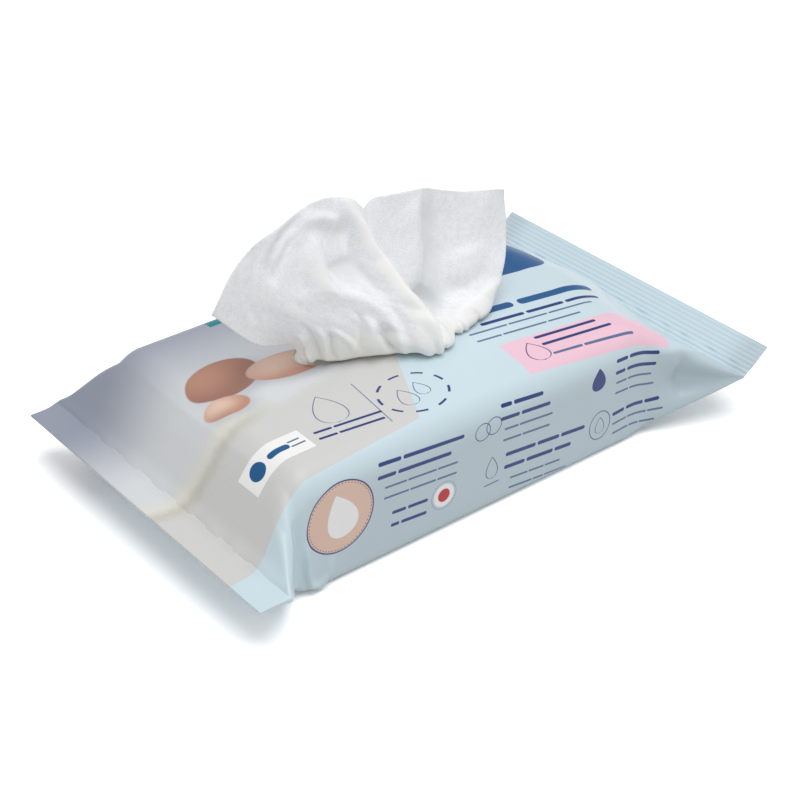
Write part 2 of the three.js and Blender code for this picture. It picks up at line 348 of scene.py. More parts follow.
# kind, ink, centre, width and height in film millimetres, turn in degrees, and what the kind needs besides
printItems = [
    # near side panel
    ("oval", "sand", (-58.4, -67.5), 26, 26, 0, {}),
    ("drop", "white", (-58, -67), 12, 17, 14, {}),
    ("oval", "navy", (-58.4, -67.5), 26, 26, 0, {"Line": 0.25}),
    ("oval", "navy", (-58.4, -67.5), 24.4, 24.4, 0, {"Line": 0.12, "Dashes": 60}),
    ("rows", "navy", (-25, -58.9), 37, 9.6, sideLean, bars(2, 0.3, 2, 1)),
    ("rows", "slate", (-23, -68), 36, 8, sideLean, bars(2, 0.2, 3, 2)),
    ("rows", "navy", (-29.5, -78.5), 17, 9.6, sideLean, bars(2, 0.26, 2, 3)),
    ("oval", "white", (-16, -78), 8.6, 8.6, 0, {}),
    ("oval", "red", (-16, -78), 5, 5, 0, {}),
    ("oval", "navy", (-16, -78), 10.4, 10.4, 0, {"Line": 0.12, "Dashes": 40}),
    ("oval", "navy", (0.2, -60), 6.4, 6.4, 0, {"Line": 0.16}),
    ("oval", "navy", (5, -59.4), 6.4, 6.4, 0, {"Line": 0.16}),
    ("rows", "navy", (20.5, -57), 25, 9.6, sideLean, bars(2, 0.3, 2, 4)),
    ("rows", "slate", (20.5, -66), 22, 8.6, sideLean, bars(2, 0.2, 2, 5)),
    ("drop", "navy", (4.8, -76), 5, 8.4, 0, {"Line": 0.16}),
    ("box", "navy", (4.9, -82.4), 6.5, 0.4, 0, {"Corner": 0.2}),
    ("rows", "navy", (29, -77.6), 37, 10, sideLean, bars(2, 0.3, 3, 6)),
    ("rows", "slate", (27, -87), 28, 7.8, sideLean, bars(2, 0.2, 3, 7)),
    ("drop", "navy", (53, -60), 6.4, 9, 0, {}),
    ("rows", "navy", (72.5, -58.3), 23, 9.4, -1, bars(2, 0.3, 2, 8)),
    ("rows", "slate", (71.5, -66.9), 20, 8.4, -1, bars(2, 0.2, 2, 9)),
    ("oval", "navy", (55, -79.3), 9.8, 11.2, 0, {"Line": 0.16}),
    ("drop", "navy", (55, -79.3), 4.2, 6.4, 0, {"Line": 0.14}),
    ("rows", "navy", (77, -76.3), 32, 4.8, 4, bars(1, 0.3, 3, 10)),
    ("rows", "slate", (75, -82.6), 27, 8, 4, bars(2, 0.2, 3, 11)),
    # top panel
    ("box", "white", (-71, -33.6), 26.5, 10.8, 0, {"Corner": 0.3}),
    ("oval", "blue", (-78, -33.6), 6.6, 6.6, 0, {}),
    ("box", "blue", (-68.6, -33.6), 8.4, 2.6, 0, {"Corner": 1.2}),
    ("rows", "slate", (-61.2, -33.4), 6, 5, 0, bars(2, 0.3, 1, 13)),
    ("drop", "navy", (-43, -25), 11, 16, topLean, {"Line": 0.16}),
    ("rows", "navy", (-42, -36.6), 26, 7.2, topLean, bars(2, 0.3, 2, 14)),
    ("box", "navy", (-29.5, -30.5), 0.3, 25, -6, {"Corner": 0.1}),
    ("oval", "navy", (-15, -34), 25, 21, 0, {"Line": 0.4, "Dashes": 9}),
    ("drop", "navy", (-18.6, -35), 6.4, 9.6, 0, {"Line": 0.16}),
    ("drop", "navy", (-11.6, -33.5), 5, 7.6, 0, {"Line": 0.16}),
    ("box", "blue", (65.5, 21), 39, 28, topLean, {"Corner": 9}),
    ("oval", "sea", (61, 28), 28, 11, topLean, {"Soft": 3}),
    ("rows", "blue", (62, -12.2), 52, 9, topLean, bars(1, 0.42, 2, 15)),
    ("rows", "navy", (56, -18.8), 52, 4.2, topLean, bars(1, 0.42, 3, 16)),
    ("rows", "slate", (48, -24.2), 52, 9.6, topLean, bars(2, 0.2, 3, 17)),
    ("box", "pink", (56.2, -42), 62.4, 18.4, -6.6, {"Corner": 0.4}),
    ("drop", "navy", (34.4, -39.2), 8, 11, topLean, {"Line": 0.22}),
    ("rows", "navy", (56, -37.2), 34, 9.4, topLean, bars(2, 0.32, 1, 18)),
    ("rows", "slate", (61, -46.6), 46, 4.4, topLean, bars(1, 0.26, 2, 19)),
]

# soft picture over the left of the top panel: rounded pebbles on pale dunes
pebbles = [
    ("clay", "earth", (-59, 11), 29, 20, 14),
    ("sand", "clay", (-37, 5), 30, 15, -8),
    ("sand", "clay", (-67, -3), 17, 10, -4),
]
pebbleShade = {"drop": (1.5, -3), "soft": 3, "share": 0.4}
pebbleLight = {"place": (-0.12, 0.2), "spread": 1.3, "range": (0.1, 1.05), "edge": {"Soft": 0.3}}
# the field of the picture and the bands beside it: edges, leans and tone ranges in film millimetres
field = {
    "rightLean": 0.506,
    "right": (-400.0, 1.1),
    "nearLean": 0.07,
    "near": (-44.5, 110.0),
    "sky": (6.0, 52.0),
    "swellBeat": 0.06, "swell": 4.0,
    "fuzz": {"Scale": 0.5, "Detail": 5.0},
    "fray": 4.0,
    "weaveAlong": 7.6, "weaveAcross": 2.2,
    "fringe": (-48.0, -68.0),
    "cream": (-1.0, -7.0),
    "reed": (-7.0, -12.0),
    "reedShare": 0.8,
    "woven": (-10.0, -16.0),
    # where the painted side shade lies: across from the top middle, and along from the left end
    "sideAcross": (52.0, 64.0),
    "sideAlong": (-80.0, -50.0),
    "farAcross": (41.6, 58.0),
    "farAlong": (-43.0, 60.0),
}
filmFinish = {"Roughness": 0.4, "Specular IOR Level": 0.4}
filmRipple = {"Scale": 0.09, "Detail": 3.0}
filmBump = {"Strength": 0.2, "Distance": 1 * mm}


def filmMaterial():
    material, sheet, surface = newMaterial("printed film", filmFinish)
    place = sheet.vector("SCALE", flatPlace(sheet), 1 / mm)
    parts = sheet.node("ShaderNodeSeparateXYZ", Vector=place)
    along, across = parts.outputs[0], parts.outputs[1]

    def shape(kind, centre, width, height, turn, more):
        made = sheet.node("ShaderNodeGroup")
        made.node_tree = printGroups[kind]
        sizes = {"Turn": math.radians(turn), "Width": width, "Height": height, **more}
        for name, value in {"Place": place, "Centre": (*centre, 0.0), **sizes}.items():
            sheet.feed(made, name, value)
        return made.outputs

    def between(value, low, high, soft=0.2):
        rising = sheet.ramp(value, low - soft, low + soft)
        falling = sheet.minus(1.0, sheet.ramp(value, high - soft, high + soft))
        return sheet.times(rising, falling)

    # picture field: a slanting right edge, and the near edge just over the shoulder
    pastRight = sheet.minus(along, sheet.times(across, field["rightLean"]))
    fromNear = sheet.minus(across, sheet.times(along, field["nearLean"]))
    inField = sheet.times(between(pastRight, *field["right"]), between(fromNear, *field["near"]))
    sky = sheet.mix(sheet.ramp(across, *field["sky"]), inks["mist"], inks["dusk"])
    beat = sheet.math("SINE", sheet.times(along, field["swellBeat"]))
    swell = sheet.times(beat, field["swell"])
    fuzz = sheet.node("ShaderNodeTexNoise", Vector=place, **field["fuzz"])
    fray = sheet.times(sheet.minus(fuzz.outputs[0], 0.5), field["fray"])
    dune = sheet.plus(sheet.plus(across, swell), fray)
    threadAlong = sheet.times(along, field["weaveAlong"])
    threadAcross = sheet.times(across, field["weaveAcross"])
    weave = sheet.math("SINE", sheet.plus(threadAlong, threadAcross))
    woven = sheet.mix(sheet.ramp(weave, -1.0, 1.0), inks["stone"], inks["thread"])
    fringe = sheet.ramp(along, *field["fringe"])
    creamShare = sheet.times(sheet.ramp(dune, *field["cream"]), fringe)
    picture = sheet.mix(creamShare, sky, inks["cream"])
    inReed = sheet.ramp(dune, *field["reed"])
    reedShare = sheet.times(inReed, sheet.times(fringe, field["reedShare"]))
    picture = sheet.mix(reedShare, picture, inks["reed"])
    picture = sheet.mix(sheet.ramp(dune, *field["woven"]), picture, woven)
    for ink, edgeInk, (x, y), width, height, turn in pebbles:
        under = (x + pebbleShade["drop"][0], y + pebbleShade["drop"][1])
        shadow = shape("oval", under, width, height, turn, {"Soft": pebbleShade["soft"]})[0]
        picture = sheet.mix(sheet.times(shadow, pebbleShade["share"]), picture, inks["dusk"])
        bright = (x + pebbleLight["place"][0] * width, y + pebbleLight["place"][1] * height)
        wide, high = pebbleLight["spread"] * width, pebbleLight["spread"] * height
        lit = shape("oval", bright, wide, high, turn, {})[1]
        shaded = sheet.mix(sheet.ramp(lit, *pebbleLight["range"]), inks[ink], inks[edgeInk])
        pebble = shape("oval", (x, y), width, height, turn, pebbleLight["edge"])[0]
        picture = sheet.mix(pebble, picture, shaded)
    # painted shade: low on both long sides the film takes a darker ink than the top, faded out towards the
    # left end
    lowDown = sheet.ramp(sheet.math("ABSOLUTE", across), *field["sideAcross"])
    sideShadeShare = sheet.times(lowDown, sheet.ramp(along, *field["sideAlong"]))
    ground = sheet.mix(sideShadeShare, inks["ice"], inks["paintedSideShade"])
    colour = sheet.mix(inField, ground, picture)
    farBand = sheet.times(between(across, *field["farAcross"]), between(along, *field["farAlong"]))
    colour = sheet.mix(farBand, colour, inks["teal"])
    for kind, ink, centre, width, height, turn, more in printItems:
        colour = sheet.mix(shape(kind, centre, width, height, turn, more)[0], colour, inks[ink])

    sheet.feed(surface, "Base Color", colour)
    ripple = sheet.node("ShaderNodeTexNoise", Vector=place, **filmRipple)
    bump = sheet.node("ShaderNodeBump", Height=ripple.outputs[0], **filmBump)
    sheet.feed(surface, "Normal", bump.outputs[0])
    return material


wipeFinish = {
    "Roughness": 0.7,
    "Subsurface Weight": 0.5,
    "Subsurface Radius": (1.0, 1.0, 1.0),
    "Subsurface Scale": 1 * mm,
}
wipeStretch = (900.0, 3600.0, 1.0)
wipeFibre = {"Scale": 1.0, "Detail": 4.0, "Roughness": 0.65}
wipeCloud = {"Scale": 420.0, "Detail": 4.0}
wipeBump = {"Strength": 0.3, "Distance": 0.2 * mm}
fibreShare = 0.7
cloudShare = 0.3
# each tone with its range: of the fibre, of the height in metres, of the folds in millimetres
wipeTones = {
    "thin": srgb(230, 235, 242),
    "thick": (0.36, 0.64, srgb(255, 255, 255)),
    "gathers": (0.030, 0.012, srgb(246, 244, 236)),
    # painted highlight on raised folds
    "paintedFoldLight": (0.8, 2.8, srgb(255, 255, 252)),
    # painted shade in the fold hollows
    "hollow": (-0.4, -3.6, srgb(222, 224, 225)),
}


def wipeMaterial():
    material, sheet, surface = newMaterial("moist nonwoven", wipeFinish)
    flat = flatPlace(sheet)
    streak = sheet.node("ShaderNodeMapping", Vector=flat, Scale=wipeStretch)
    fibre = sheet.node("ShaderNodeTexNoise", Vector=streak.outputs[0], **wipeFibre)
    cloud = sheet.node("ShaderNodeTexNoise", Vector=flat, **wipeCloud)
    fleece = sheet.plus(sheet.times(cloud.outputs[0], cloudShare), sheet.times(fibre.outputs[0], fibreShare))
    height = sheet.node("ShaderNodeSeparateXYZ", Vector=flat).outputs[1]
    fold = sheet.node("ShaderNodeAttribute")
    fold.attribute_name = "fold"
    depth = fold.outputs["Fac"]
    # warmer at the gathers; painted highlight on raised folds and painted shade in the hollows, both keyed to
    # the fold height
    tint = wipeTones["thin"]
    for value, name in ((fleece, "thick"), (height, "gathers"), (depth, "paintedFoldLight"), (depth, "hollow")):
        low, high, tone = wipeTones[name]
        tint = sheet.mix(sheet.ramp(value, low, high), tint, tone)
    sheet.feed(surface, "Base Color", tint)
    bump = sheet.node("ShaderNodeBump", Height=fibre.outputs[0], **wipeBump)
    sheet.feed(surface, "Normal", bump.outputs[0])
    return material


# rise or dip along a given line over a flat sheet, with its own width on each side, fading at both ends
foldEnds = {"share": 0.2, "power": 0.7}


def foldRise(across, up, line, rise, left, right, kind="soft"):
    line = np.asarray(line, float)
    nearest = np.full(across.shape, np.inf)
    side = np.zeros(across.shape)
    share = np.zeros(across.shape)
    lengths = np.linalg.norm(np.diff(line, axis=0), axis=1)
    start = 0.0
    for a, b, length in zip(line[:-1], line[1:], lengths):
        step = (b - a) / length
        x, y = across - a[0], up - a[1]
        t = np.clip(x * step[0] + y * step[1], 0, length)
        gap = np.hypot(x - t * step[0], y - t * step[1])
        closer = gap < nearest
        nearest = np.where(closer, gap, nearest)
        side = np.where(closer, step[0] * y - step[1] * x, side)
        share = np.where(closer, (start + t) / lengths.sum(), share)
        start += length
    width = np.where(side > 0, left, right)
    ends = np.clip(np.minimum(share, 1 - share) / foldEnds["share"], 0, 1) ** foldEnds["power"]
    power = 1 if kind == "crease" else 2
    return rise * np.exp(-(nearest / width) ** power) * ends


# film wrapper
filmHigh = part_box("film_wrapper")[1]
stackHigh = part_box("wipe_stack")[1]
film = {
    "wall": 0.3 * mm,
    "offStack": 0.7 * mm,
    "shoulder": 9.0 * mm,
    "foot": 4.0 * mm,
    "finFoot": 0.2 * mm,
    "roundLimit": 0.45,  # of the height, for shoulder and foot
    "endBend": 14.0 * mm,
    "leftEarBend": 1.5 * mm,
    "rightEarBend": 6.0 * mm,
    "earRound": 0.2 * mm,
    "nearLeftEarRound": 14.0 * mm,
    "leftTuck": 1.0 * mm,
    "rightTuck": 3.5 * mm,
    "crown": 1.5 * mm,
    "leftTaper": 15.0 * mm,
    "rightTaper": 35.5 * mm,
    "leftFinZ": 18.5 * mm,
    "rightFinZ": 19.5 * mm,
    "leftFinDepth": 11.0 * mm,
    "rightFinDepth": 14.0 * mm,
    "finWall": 0.8 * mm,
    "finTilt": 39.0,
    "seamWidth": 12.0 * mm,
    "seamWall": 0.3 * mm,
    "seamStep": 0.2 * mm,
    "top": 44.7 * mm,
    "fineReach": 20 * mm,  # closer rings near the folded corner
    "liningInset": 18 * mm,
    "barePlace": (0, -0.3),  # off the print
    "sharpAngle": 70,
}
filmSteps = {
    "top": 64, "corner": 9, "side": 26, "base": 8,
    "leftBend": 36, "leftBody": 24, "body": 72, "rightBend": 50, "fin": 48,
}
film["half"] = stackHigh[1] + film["offStack"]
film["length"] = stackHigh[0] + film["offStack"]
film["finHalf"] = filmHigh[1]
opening = {"centre": (1 * mm, 4 * mm), "size": (70 * mm, 26 * mm)}

# the film stands off the right end of the stack, eases into the left fin, and gathers a little at both fins;
# all in flat film millimetres
pillow = {"rise": 4.5, "start": 68, "length": 51, "nearReach": 45, "farReach": 64, "power": 1.3}
easing = {"rise": 0.9, "place": -102.5, "width": 3.2}
finGathers = [
    {"rise": 0.35, "place": 121, "reach": 16, "until": 121, "beat": 0.55, "sway": 0.8, "swayBeat": 0.21},
    {"rise": 0.25, "place": -103, "reach": 9, "until": 0, "beat": 0.42, "sway": 1.1, "swayBeat": 0.17},
]
leftFinLine = [(-103.2 + 0.7 * math.sin(v * 0.4), v) for v in range(-64, 66, 2)]
# line in flat film millimetres, rise, width on each side and kind
filmFolds = [
    ([(90.8, -56), (92, -65), (93.8, -77)], -2.0, 4.5, 2, "crease"),
    ([(76, -56), (90, -56.6), (112, -58)], 1.2, 2.6, 2, "crease"),
    ([(-78.6, -50), (-79, -66), (-79.2, -78), (-79.6, -94)], -1.0, 3, 4, "soft"),
    (
        [(-72, -70), (-72.4, -80), (-70.6, -88), (-67.2, -90.6), (-63.6, -87.6), (-62, -81)],
        1.5, 1, 1, "soft",
    ),
    ([(-76, -44), (-77, 0), (-76, 44)], 0.35, 2, 2, "crease"),
    ([(78, -42), (88, -30), (96, -12)], -0.6, 3, 3, "soft"),
    (leftFinLine, 0.55, 0.9, 0.9, "crease"),
]
ribs = {"Count": 8.0, "Rise": 0.22 * mm, "Unevenness": 0.5, "Fade": 0.55, "Seed": 3.0}
leftRibShare = 0.1


def atEnd(x, name):
    return film[("left" if x < 0 else "right") + name]


def pastBend(distance, bend):
    if distance <= 0:
        return 0.0
    if distance >= bend:
        return distance - bend / 2
    return distance ** 2 / (2 * bend)


def filmOutline(x):
    taper, finZ, earBend = (atEnd(x, name) for name in ("Taper", "FinZ", "EarBend"))
    past = abs(x) - film["length"]
    lead = film["endBend"] / 2
    share = pastBend(past + lead, film["endBend"]) / pastBend(taper + lead, film["endBend"])
    flare = pastBend(past, earBend) / pastBend(taper, earBend)
    half = lerp(film["half"], film["finHalf"], flare)
    top = lerp(film["top"], finZ + film["finWall"] / 2, share)
    bottom = lerp(0, finZ - film["finWall"] / 2, share)
    return share, half, top, bottom


def filmRing(x):
    # round the film from the middle of the base, up the far side and over to the near side
    share, half, top, bottom = filmOutline(x)
    steps = filmSteps
    height = top - bottom
    foot = min(lerp(film["foot"], film["finFoot"], share), film["roundLimit"] * height)
    tuck = atEnd(x, "Tuck") * math.sin(math.pi * share) ** 2
    rise = film["crown"] * math.cos(math.pi / 2 * min(1, abs(x) / film["length"]))
    bow = film["seamWall"] * (1 - share)
    flat = half - foot
    seamEdge = film["seamWidth"] / 2

    # the seam under the middle of the base, and the film bowed over it
    base = [(y, bottom + bow - film["seamWall"]) for y in (0, seamEdge)]
    for i in range(steps["base"]):
        y = lerp(seamEdge + film["seamStep"], flat, i / steps["base"])
        base.append((y, bottom + bow * max(0, 1 - 2 * y / flat)))

    def halfRing(earRound):
        shoulder = min(lerp(film["shoulder"], earRound, share), film["roundLimit"] * height)
        profile = list(base)
        for i in range(steps["corner"]):
            angle = math.pi / 2 * (i / steps["corner"] - 1)
            profile.append((flat + foot * math.cos(angle), bottom + foot + foot * math.sin(angle)))
        for i in range(steps["side"]):
            t = i / steps["side"]
            profile.append((half - tuck * math.sin(math.pi * t) ** 2, lerp(bottom + foot, top - shoulder, t)))
        for i in range(steps["corner"]):
            angle = math.pi / 2 * i / steps["corner"]
            y = half - shoulder + shoulder * math.cos(angle)
            profile.append((y, top - shoulder + shoulder * math.sin(angle)))
        for i in range(steps["top"] // 2):
            profile.append((lerp(half - shoulder, 0, i / (steps["top"] // 2)), top))
        return profile

    farSide = halfRing(film["earRound"])
    nearSide = halfRing(film["nearLeftEarRound"] if x < 0 else film["earRound"])
    nearSide = [(-y, z) for y, z in reversed(nearSide[1:])]
    ring = np.array([(x, y, z) for y, z in farSide + [(0, top)] + nearSide])
    crownShare = np.cos(math.pi / 2 * np.clip(ring[:, 1] / half, -1, 1))
    ring[:, 2] += np.where(ring[:, 2] > bottom + height / 2, rise * crownShare, 0)
    return ring


def finUp(side):
    tilt = math.radians(film["finTilt"]) if side > 0 else 0.0
    return np.array((-side * math.sin(tilt), 0, math.cos(tilt)))


def finRing(side, depth):
    # the flattened end of the film, turned with its fin
    root = side * (film["length"] + atEnd(side, "Taper"))
    finZ = atEnd(side, "FinZ")
    ring = filmRing(root)
    up = finUp(side)
    outward = np.array((side * up[2], 0, -side * up[0]))
    rise = ring[:, 2] - finZ
    ring[:, 0] = root
    ring[:, 2] = finZ
    return ring + depth * outward + rise[:, None] * up


def gridNormals(grid, closed):
    if closed:
        ringWay = np.roll(grid, -1, axis=1) - np.roll(grid, 1, axis=1)
    else:
        ringWay = np.gradient(grid, axis=1)
    normals = np.cross(ringWay, np.gradient(grid, axis=0))
    return normals / np.maximum(np.linalg.norm(normals, axis=2, keepdims=True), 1e-12)


def filmGrid():
    steps = filmSteps
    leftRoot = -film["length"] - film["leftTaper"]
    rightRoot = film["length"] + film["rightTaper"]
    flatEnd = film["length"] - film["endBend"] / 2
    stops = [leftRoot, -flatEnd, -flatEnd + film["fineReach"], flatEnd, rightRoot]
    places = []
    for low, high, name in zip(stops, stops[1:], ("leftBend", "leftBody", "body", "rightBend")):
        places += [lerp(low, high, i / steps[name]) for i in range(steps[name])]
    depths = [1 - i / steps["fin"] for i in range(steps["fin"])]
    depths += [0] * len(places) + [i / steps["fin"] for i in range(steps["fin"] + 1)]
    rings = [finRing(-1, film["leftFinDepth"] * depth) for depth in depths[:steps["fin"]]]
    rings += [filmRing(x) for x in places]
    rings += [finRing(1, film["rightFinDepth"] * depth) for depth in depths[-steps["fin"] - 1:]]
    return np.array(rings), np.array(depths)


def flatCoordinates(grid):
    # along the middle of the top, and round from it, with one more column that closes the tube
    topIndex = grid.shape[1] // 2
    spine = grid[:, topIndex]
    along = np.concatenate([[0], np.cumsum(np.linalg.norm(np.diff(spine, axis=0), axis=1))])
    along -= np.interp(0, spine[:, 0], along)
    loop = np.concatenate([grid, grid[:, :1]], axis=1)
    steps = np.linalg.norm(np.diff(loop, axis=1), axis=2)
    around = np.concatenate([np.zeros((len(grid), 1)), np.cumsum(steps, axis=1)], axis=1)
    return along, around[:, topIndex:topIndex + 1] - around


def dentFilm(grid, along, around):
    u = np.repeat(along[:, None], grid.shape[1], axis=1) / mm
    v = around[:, :-1] / mm
    slope = np.clip((u - pillow["start"]) / pillow["length"], 0, 1)
    across = np.clip(v / np.where(v < 0, pillow["nearReach"], pillow["farReach"]), -1, 1)
    rise = pillow["rise"] * np.sin(math.pi * slope) ** pillow["power"] * np.cos(math.pi / 2 * across) ** 2
    rise += easing["rise"] * np.exp(-((u - easing["place"]) / easing["width"]) ** 2)
    for line, height, left, right, kind in filmFolds:
        rise += foldRise(u, v, line, height, left, right, kind)
    for gather in finGathers:
        close = np.clip(1 - np.abs(u - gather["place"]) / gather["reach"], 0, 1) * (u < gather["until"])
        bent = v * gather["beat"] + gather["sway"] * np.sin(v * gather["swayBeat"])
        rise += gather["rise"] * close ** 2 * np.sin(bent)
    return grid + gridNormals(grid, True) * (rise * mm)[..., None]


def ribTree():
    # crimp ribs over the fins, along a stored direction
    tree = bpy.data.node_groups.new("crimpRibs", "GeometryNodeTree")
    sockets = {"Geometry": "Geometry", **dict.fromkeys(ribs, "Float"), "Material": "Material"}
    for title, kind in sockets.items():
        tree.interface.new_socket(title, in_out="INPUT", socket_type="NodeSocket" + kind)
    tree.interface.new_socket("Geometry", in_out="OUTPUT", socket_type="NodeSocketGeometry")
    sheet = NodeSheet(tree)
    given = sheet.node("NodeGroupInput").outputs
    end = sheet.node("NodeGroupOutput")
    depth = sheet.node("GeometryNodeInputNamedAttribute", Name="finDepth").outputs["Attribute"]
    way = sheet.node("GeometryNodeInputNamedAttribute", Name="finUp")
    way.data_type = "FLOAT_VECTOR"
    count = sheet.times(depth, given["Count"])
    key = sheet.node("ShaderNodeCombineXYZ", X=sheet.math("FLOOR", count), Y=given["Seed"])
    chance = sheet.node("ShaderNodeTexWhiteNoise", Vector=key.outputs[0])
    chance.noise_dimensions = "2D"
    lower = sheet.minus(1.0, sheet.times(chance.outputs[0], given["Unevenness"]))
    fading = sheet.minus(1.0, sheet.times(depth, given["Fade"]))
    full = sheet.times(sheet.math("SINE", sheet.times(count, 2 * math.pi)), given["Rise"])
    offset = sheet.vector("SCALE", way.outputs["Attribute"], sheet.times(full, sheet.times(lower, fading)))
    move = sheet.node("GeometryNodeSetPosition", Geometry=given["Geometry"], Offset=offset)
    real = sheet.node("GeometryNodeRealizeInstances", Geometry=move.outputs[0])
    paint = sheet.node("GeometryNodeSetMaterial", Geometry=real.outputs[0], Material=given["Material"])
    sheet.feed(end, "Geometry", paint.outputs[0])
    return tree


def addRibs(piece, material):
    tree = ribTree()
    values = {**ribs, "Material": material}
    modifier = piece.modifiers.new("ribs", "NODES")
    modifier.node_group = tree
    for item in tree.interface.items_tree:
        if item.in_out == "INPUT" and item.name in values:
            modifier[item.identifier] = values[item.name]
    bpy.context.view_layer.update()
    graph = bpy.context.evaluated_depsgraph_get()
    mesh = bpy.data.meshes.new_from_object(piece.evaluated_get(graph))
    piece.modifiers.remove(modifier)
    piece.data = mesh


def buildFilm(material):
    grid, depths = filmGrid()
    along, around = flatCoordinates(grid)
    grid = dentFilm(grid, along, around)
    rows, count = grid.shape[:2]
    inset = film["liningInset"]
    hollow = np.flatnonzero((along > along[0] + inset) & (along < along[-1] - inset))
    lining = (grid - gridNormals(grid, True) * film["wall"])[hollow]
    first = hollow[0]
    outer = rows * count
    points = np.concatenate([grid.reshape(-1, 3), lining.reshape(-1, 3)])

    # the oval opening: faces inside it are left out, and points next to it move onto its edge
    centre = np.array(opening["centre"])
    radii = np.array(opening["size"]) / 2
    faces, corners, rim = [], [], {}

    def inOpening(face):
        middle = points[list(face)].mean(axis=0)
        flat = (middle[:2] - centre) / radii
        return middle[2] > film["top"] / 2 and flat @ flat < 1

    def skin(gridRows, at, inside):
        for r in gridRows:
            for i in range(count):
                j = (i + 1) % count
                face = (at(r, i), at(r, j), at(r + 1, j), at(r + 1, i))
                if inOpening(face):
                    for a, b in zip(face, face[1:] + face[:1]):
                        rim[(a, b)] = True
                    continue
                faces.append(face if inside else face[::-1])
                order = ((r, i), (r, i + 1), (r + 1, i + 1), (r + 1, i))
                corners.append(None if inside else order[::-1])

    def outerAt(r, i):
        return r * count + i

    def innerAt(r, i):
        return outer + (r - first) * count + i

    skin(range(rows - 1), outerAt, False)
    outerRim = [edge for edge in rim if edge[::-1] not in rim]
    rim.clear()
    skin(hollow[:-1], innerAt, True)
    toLining = outer - first * count
    for a, b in outerRim:
        faces.append((a, b, b + toLining, a + toLining))
        corners.append(None)
    for edge in outerRim:
        for shift in (0, toLining):
            k = edge[0] + shift
            flat = (points[k, :2] - centre) / radii
            points[k, :2] = centre + radii * flat / np.linalg.norm(flat)
    caps = [
        tuple(outerAt(0, i) for i in range(count)),
        tuple(outerAt(rows - 1, i) for i in reversed(range(count))),
        tuple(innerAt(hollow[0], i) for i in reversed(range(count))),
        tuple(innerAt(hollow[-1], i) for i in range(count)),
    ]
    faces += caps
    piece = addMesh("film", points, faces, material)

    layer = piece.data.uv_layers.new(name="flat")
    for polygon, order in zip(piece.data.polygons, corners):
        for spot, loop in enumerate(polygon.loop_indices):
            # faces off the print read a bare place
            layer.data[loop].uv = (along[order[spot][0]], around[order[spot]]) if order else film["barePlace"]
    for polygon in piece.data.polygons[len(corners):]:
        for loop in polygon.loop_indices:
            r, i = divmod(piece.data.loops[loop].vertex_index, count)
            layer.data[loop].uv = (along[r], around[r, i]) if r < rows else film["barePlace"]
    depth = piece.data.attributes.new("finDepth", "FLOAT", "POINT")
    way = piece.data.attributes.new("finUp", "FLOAT_VECTOR", "POINT")
    for r in range(rows):
        side = -1 if r < rows / 2 else 1
        up = finUp(side) * (leftRibShare if side < 0 else 1)
        for i in range(count):
            depth.data[outerAt(r, i)].value = depths[r]
            way.data[outerAt(r, i)].vector = up
    addRibs(piece, material)
    piece.data.set_sharp_from_angle(angle=math.radians(film["sharpAngle"]))
    return piece


# pulled wipe, over rails from its drooping left edge to its upright right edge, lowest first; each point has
# shares of a reach along the pack and of a sway across it, and of the height where the rail isn't level
wipe = {
    "wall": 0.35 * mm,
    "height": 59 * mm,
    "leftReach": 72 * mm,
    "rightReach": 55 * mm,
    "sway": 15 * mm,
    "neckUp": 0.01,
    "lapUp": 0.03,
    "flat": (150 * mm, 65 * mm),
    "columns": 300,
    "rows": 130,
    "riserSteps": 300,
    "inside": 0.06,  # share of the sheet that is still inside the opening
    "rootFade": 0.1,
    "smoothing": 3,
    "offStack": 0.3 * mm,
    "offFilm": 0.4 * mm,
    "restsPast": 0.96,  # share of the opening's radius, squared
}
pleats = {"rise": 0.35, "beat": 0.36, "sway": 0.9, "swayBeat": 0.11, "reach": 0.5, "power": 1.3}
wrinkles = {
    "rise": 0.3, "shortest": 9, "longest": 26, "waves": 12, "slant": 0.9,
    "bend": 3, "bendLength": 17, "calm": 3, "seed": 5,
}
neckRail = [
    (-0.82, 0.1), (-0.6, -0.25), (-0.36, -0.5), (-0.1, -0.68), (0.15, -0.72), (0.34, -0.66),
    (0.46, -0.45), (0.54, -0.25), (0.64, -0.25), (0.73, -0.28), (0.8, -0.28),
]
lapRail = [
    (-1.0, -0.28), (-0.82, -0.64), (-0.51, -1.05), (-0.17, -1.56), (0.11, -2.0), (0.34, -1.96),
    (0.48, -1.56), (0.64, -1.5), (0.84, -1.38), (1.06, -1.18), (1.21, -0.62),
]
lowerRail = [
    (-0.52, -0.1, 0.13), (-0.47, -0.6, 0.2), (-0.37, -0.9, 0.25), (-0.24, -1.0, 0.27), (-0.06, -1.22, 0.27),
    (0.1, -1.05, 0.25), (0.18, -0.6, 0.2), (0.25, -0.5, 0.15), (0.44, -0.68, 0.14), (0.65, -0.72, 0.14),
    (0.86, -0.62, 0.16),
]
upperRail = [
    (-0.72, -0.2, 0.23), (-0.69, -0.3, 0.44), (-0.57, -0.42, 0.53), (-0.4, -0.48, 0.58), (-0.21, -0.42, 0.57),
    (-0.05, -0.28, 0.53), (-0.02, -0.14, 0.47), (0.08, -0.12, 0.45), (0.38, -0.2, 0.44), (0.69, -0.26, 0.4),
    (0.97, -0.3, 0.34),
]
freeEdge = [
    (-0.96, -0.2, 0.52), (-0.895, -0.17, 0.63), (-0.82, -0.13, 0.74), (-0.705, -0.1, 0.83),
    (-0.565, -0.07, 0.885), (-0.42, -0.03, 0.945), (-0.3, 0.01, 0.945), (-0.21, 0.07, 0.91),
    (-0.125, 0.13, 0.85), (-0.065, 0.2, 0.775), (-0.06, 0.27, 0.71), (-0.05, 0.27, 0.755),
    (-0.01, 0.23, 0.81), (0.1, 0.17, 0.81), (0.265, 0.13, 0.795), (0.37, 0.1, 0.785),
    (0.49, 0.07, 0.745), (0.645, 0.03, 0.695), (0.785, 0, 0.665), (0.89, -0.07, 0.65), (0.98, -0.13, 0.63),
]
